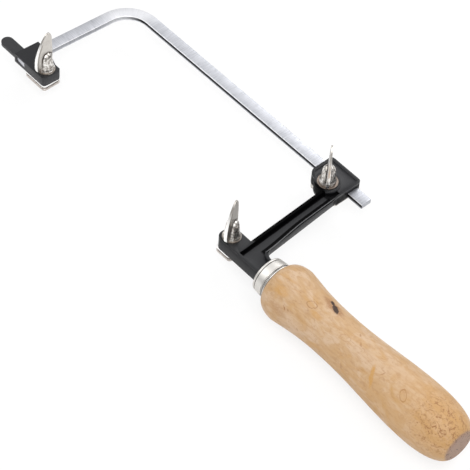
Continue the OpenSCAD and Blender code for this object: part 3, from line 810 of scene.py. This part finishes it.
def bentBar(finish):
    g = Form("bentBar", bowPath)
    turn = g.size("bendAngle")
    radius = g.size("bendRadius")
    whole = g.size("spineLength") + radius * turn + g.size("armLength")
    line = g.node("MeshLine", Count=g.size("points"))
    travel = g.node("InputIndex") * (whole / (g.size("points") - 1.0))
    spine = g.math("MINIMUM", travel, g.size("spineLength"))
    angle = ((travel - g.size("spineLength")) / radius).clamped(0.0, turn)
    arm = g.math("MAXIMUM", travel - g.size("spineLength") - radius * turn, 0.0)
    x = g.size("startX") - spine - radius * g.math("SINE", angle) - arm * g.math("COSINE", turn)
    y = g.size("startY") - radius * (1.0 - g.math("COSINE", angle)) - arm * g.math("SINE", turn)
    line = g.node("StoreNamedAttribute", {"data_type": "FLOAT", "domain": "POINT"}, Geometry=line,
                  Name="along", Value=travel)
    line = g.moved(line, x, y, g.size("middleZ"))
    path = g.node("SetCurveNormal", {"mode": "Z_UP"}, Curve=g.node("MeshToCurve", Mesh=line))
    section = g.node("CurvePrimitiveQuadrilateral", Width=g.size("barWidth"), Height=g.size("barThickness"))
    section = g.node("FilletCurve", {"mode": "POLY"}, Curve=section, Radius=g.size("edgeRadius"), Count=3)
    sideways = g.parts(g.node("InputPosition"))[0]
    section = g.node("StoreNamedAttribute", {"data_type": "FLOAT", "domain": "POINT"}, Geometry=section,
                     Name="across", Value=sideways)
    bar = g.node("CurveToMesh", Curve=path, Profile_Curve=section, Fill_Caps=True)
    return g.grow("bentBar", bar, finish)


bright = brushedBow()
bow = eased(bentBar(bright), "bentBar", bowEasing, segments=2, angle=50.0)
dressed(bow, bright, "bow_frame", "bow")
print("bow bent")

# The liners and plates keep their solids' shapes too

plateEasing = 0.2 * mm
gripping = grippingPlate(boxOf("front_plate")[1].z, boxOf("front_liner")[0].z)
plated = nickelPlate("platedSteel", roughness=0.24, uneven=0.08, footReflectionShare=0.3)
for name, body in (("front_liner", "bow_frame"), ("front_plate", "front_clamp"), ("rear_liner", "grip"),
                   ("rear_plate", "rear_clamp"), ("bar_plate", "bar_clamp")):
    plate = plated if name == "bar_plate" else gripping
    dressed(eased(solidCopy(name + "Plated", name), name + "Plated", plateEasing), plate, body, name)

# Wing screws: the solid's fin and hub melted into one smooth casting above a cut thread

wingShape = {
    "cell": 0.17 * mm,
    "smoothing": 10,
    "footDepth": 0.4 * mm,  # how far the casting goes down inside its washer
    "tipShare": 0.5,  # how much of its thickness the wing keeps at its tip
    "taperStart": 9.0 * mm,
    # the bright edge is a painted highlight, which fades out by this height
    "highlightEnd": 20.0 * mm,  # height at which the bright edge has faded
    "highlightFade": 3.0 * mm,
    "highlightWidth": 0.8 * mm,
    "creaseWidth": 0.5 * mm,
    "wingHalf": 1.05 * mm,  # half of the wing's thickness where it stands on its hub
    # these follow the solids: sizes over the washer, and the way that each wing points in degrees
    "tipHeight": 23.7 * mm,
    "hubRadius": 3.3 * mm,
    "hubHeight": 7.8 * mm,
    "turns": {"front": 275, "rear": 290, "bar": 314},
}


def shapedWing(piece, middle, seat, turn):
    # thins the wing towards its tip, and notes down its crease and edge, where the finish paints shade and
    # a highlight, and its hub
    w = wingShape
    a = math.radians(turn)
    reach = Vector((math.cos(a), math.sin(a), 0))
    across = Vector((-math.sin(a), math.cos(a), 0))
    step = 0.25 * mm
    foot = Vector((middle.x, middle.y, seat))
    outline = {}  # the wing's outer edge, as its reach at each height
    for v in piece.data.vertices:
        offset = v.co - foot
        level = round(offset.z / step)
        outline[level] = max(outline.get(level, 0), offset.dot(reach))
    marks = {"creaseShade": [], "hub": [], "edge": [], "low": []}
    for v in piece.data.vertices:
        offset = v.co - foot
        height = offset.z
        share = min(max((height - w["taperStart"]) / (w["tipHeight"] - w["taperStart"]), 0), 1)
        v.co -= across * (offset.dot(across) * (1 - w["tipShare"]) * share)
        out = offset.dot(reach)
        beside = abs(offset.dot(across))
        gap = math.hypot(out, max(height - w["hubHeight"], 0)) - w["hubRadius"]
        nearHub = math.exp(-(gap / w["creaseWidth"]) ** 2)
        nearEdge = math.exp((out - outline[round(height / step)]) / w["highlightWidth"])
        marks["creaseShade"].append(nearHub if height > 1.5 * mm and beside < w["wingHalf"] + 0.3 * mm else 0.0)
        marks["hub"].append(1.0 if height > 0.4 * mm and beside > w["wingHalf"] else 0.0)
        marks["edge"].append(nearEdge if height > 1.2 * mm and beside < w["wingHalf"] else 0.0)
        marks["low"].append(min(max((w["highlightEnd"] - height) / w["highlightFade"], 0), 1))
    for key, values in marks.items():
        piece.data.attributes.new(key, "FLOAT", "POINT").data.foreach_set("value", values)
    return piece


def wingCasting(name, node, seat):
    piece = solidCopy(name, node)
    low = seat - wingShape["footDepth"]
    form = bmesh.new()
    form.from_mesh(piece.data)
    cut = bmesh.ops.bisect_plane(form, geom=form.verts[:] + form.edges[:] + form.faces[:], dist=1e-7,
                                 plane_co=(0, 0, low), plane_no=(0, 0, 1), clear_inner=True)
    bmesh.ops.holes_fill(form, edges=[e for e in cut["geom_cut"] if isinstance(e, bmesh.types.BMEdge)])
    form.to_mesh(piece.data)
    form.free()
    melt = piece.modifiers.new("melt", "REMESH")
    melt.mode = "VOXEL"
    melt.voxel_size = wingShape["cell"]
    soft = piece.modifiers.new("soft", "SMOOTH")
    soft.factor = 0.5
    soft.iterations = wingShape["smoothing"]
    baked(piece, name)
    # melting mustn't carry the foot out of its solid's box
    for v in piece.data.vertices:
        v.co.z = max(v.co.z, low)
    return smoothShaded(piece, angle=80.0)


threadShape = {
    "crest": 2.5 * mm,
    "depth": 0.42 * mm,
    "pitch": 0.8 * mm,
    "tip": 0.5 * mm,
    "sides": 40,
}


def threadForm(x, y, low, high):
    # a rod whose radius follows the thread's phase round and along it
    rings = int((high - low) / threadShape["pitch"] * 9)  # nine for each turn
    g = Form("screwThread", {**threadShape, "x": x, "y": y, "low": low, "high": high, "rings": rings})
    rod = g.node("MeshCylinder", {"fill_type": "NGON"}, Vertices=g.size("sides"),
                 Side_Segments=g.size("rings"), Radius=1.0, Depth=1.0)
    px, py, pz = g.parts(g.node("InputPosition"))
    height = (pz + 0.5) * (g.size("high") - g.size("low"))
    turned = g.math("ARCTAN2", py, px) / (2 * math.pi)
    phase = g.math("FRACT", height / g.size("pitch") - turned + 4.0)  # kept above nought
    grooveShade = g.math("ABSOLUTE", phase * 2.0 - 1.0)
    radius = g.size("crest") - g.size("depth") * grooveShade
    radius = radius - (g.size("tip") - height).clamped(0.0, g.size("tip"))
    return g, g.moved(rod, g.size("x") + radius * px, g.size("y") + radius * py, g.size("low") + height)


nickelCast = nickelPlate("nickelCast", roughness=0.26, uneven=0.08, footReflectionShare=1.0)
threadSteel = steels["threadSteel"]
threadRise = 0.3 * mm  # how far a thread goes up inside its casting
for name in ("front", "rear", "bar"):
    low = boxOf(name + "_screw")[0]
    washerLow, washerHigh = boxOf(name + "_washer")
    middle = (washerLow + washerHigh) / 2
    wing = wingCasting(name + "WingScrew", name + "_screw", washerHigh.z)
    wing = shapedWing(wing, middle, washerHigh.z, wingShape["turns"][name])
    dressed(wing, nickelCast, name + "_wing", name + "_screw")
    g, rod = threadForm(middle.x, middle.y, low.z, washerHigh.z + threadRise)
    thread = smoothShaded(g.grow(name + "Thread", rod, threadSteel), angle=60.0)
    dressed(thread, threadSteel, name + "_wing", name + "_screw")
print("wing screws made")

# Washers, pins and the tang keep their solids

def steelOf(node):
    # the finish of a solid that is kept, or none for one that a shape above replaces
    if node == "bar_washer":
        return steels["darkWasher"]
    for ending, name in (("tang", "rodSteel"), ("washer", "washerSteel"), ("pin", "pinSteel")):
        if node.endswith(ending):
            return steels[name]
    return None


for node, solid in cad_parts.items():
    finish = steelOf(node)
    if finish:
        for slot in solid.material_slots:
            slot.link = "OBJECT"
            slot.material = finish

# Stage, lamps and camera

stageLook = {"floor": (0.93, 0.93, 0.93), "size": 3.0, "glow": 0.80}


def paleFloor():
    half = stageLook["size"]
    floor = pieceFrom("floor", [(-half, -half, 0), (half, -half, 0), (half, half, 0), (-half, half, 0)],
                      [(0, 1, 2, 3)])
    g = Finish("paleFloor")
    seen = g.node("LightPath", out=0)
    diffuse = g.node("BsdfDiffuse", Color=(*stageLook["floor"], 1))
    glow = g.node("Emission", Color=(1, 1, 1, 1), Strength=1.0)
    surface = g.node("MixShader", i0=seen * stageLook["glow"], i1=diffuse, i2=glow)
    floor.data.materials.append(g.closed(surface))


worldLook = {"fill": 0.50, "low": 0.16, "high": 0.95, "horizon": (0.15, 0.62)}


def studioWorld():
    # white to the camera, an even fill for light, and a dark horizon in reflections
    world = bpy.data.worlds.new("studio")
    world.use_nodes = True
    tree = world.node_tree
    tree.nodes.clear()
    g = Graph(tree, "ShaderNode")
    camera = g.node("LightPath", out=0)  # one for what the camera sees directly
    glossy = g.node("LightPath", out=3)  # one for what a shiny surface mirrors
    height = g.parts(g.vector("NORMALIZE", g.node("TexCoord", out=0)))[2]
    mirrored = height.band(*worldLook["horizon"], worldLook["low"], worldLook["high"])
    strength = worldLook["fill"] + glossy * (mirrored - worldLook["fill"])
    strength = strength + camera * (1.0 - strength)
    light = g.node("Background", Color=(1, 1, 1, 1), Strength=strength)
    tree.links.new(light.socket, tree.nodes.new("ShaderNodeOutputWorld").inputs[0])
    bpy.context.scene.world = world


lamps = {
    "keyLamp": {"place": (0.5, -0.35, 1.1), "size": (0.9, 0.9), "power": 10.0},
    "fillLamp": {"place": (-0.9, -0.5, 0.7), "size": (0.8, 0.8), "power": 4.0},
    "backLamp": {"place": (-0.1, 1.0, 0.8), "size": (1.2, 0.5), "power": 7.0},
}


def softLamp(name, place, size, power):
    lamp = bpy.data.lights.new(name, "AREA")
    lamp.shape = "RECTANGLE"
    lamp.size, lamp.size_y = size
    lamp.energy = power
    holder = bpy.data.objects.new(name, lamp)
    bpy.context.collection.objects.link(holder)
    holder.location = place
    holder.rotation_euler = (-Vector(place)).to_track_quat("-Z", "Y").to_euler()


# the photo's camera, in degrees and metres
photoView = {
    "azimuth": 44.2338,
    "elevation": 50.2082,
    "roll": -5.0,
    "distance": 0.957065,
    "target": (0.0099132, -0.0247500, 0.0149),
    "focalPixels": 2000.0,
    "imagePixels": 470.0,
}


def photoCamera():
    v = photoView
    a = math.radians(v["azimuth"])
    e = math.radians(v["elevation"])
    back = Vector((math.sin(a) * math.cos(e), -math.cos(a) * math.cos(e), math.sin(e)))
    up = (Vector((0, 0, 1)) - back * back.z).normalized()
    right = up.cross(back)
    r = math.radians(v["roll"])
    rightRolled = right * math.cos(r) - up * math.sin(r)
    upRolled = up * math.cos(r) + right * math.sin(r)
    data = bpy.data.cameras.new("photoCamera")
    data.sensor_width = 36.0
    data.lens = v["focalPixels"] / v["imagePixels"] * data.sensor_width
    data.clip_start = 0.05
    data.clip_end = 20.0
    camera = bpy.data.objects.new("photoCamera", data)
    bpy.context.collection.objects.link(camera)
    turn = Matrix((rightRolled, upRolled, back)).transposed().to_4x4()
    camera.matrix_world = Matrix.Translation(Vector(v["target"]) + back * v["distance"]) @ turn
    bpy.context.scene.camera = camera


paleFloor()
studioWorld()
for name, look in lamps.items():
    softLamp(name, **look)
photoCamera()
bpy.context.scene.view_settings.view_transform = "Standard"
print("stage set")
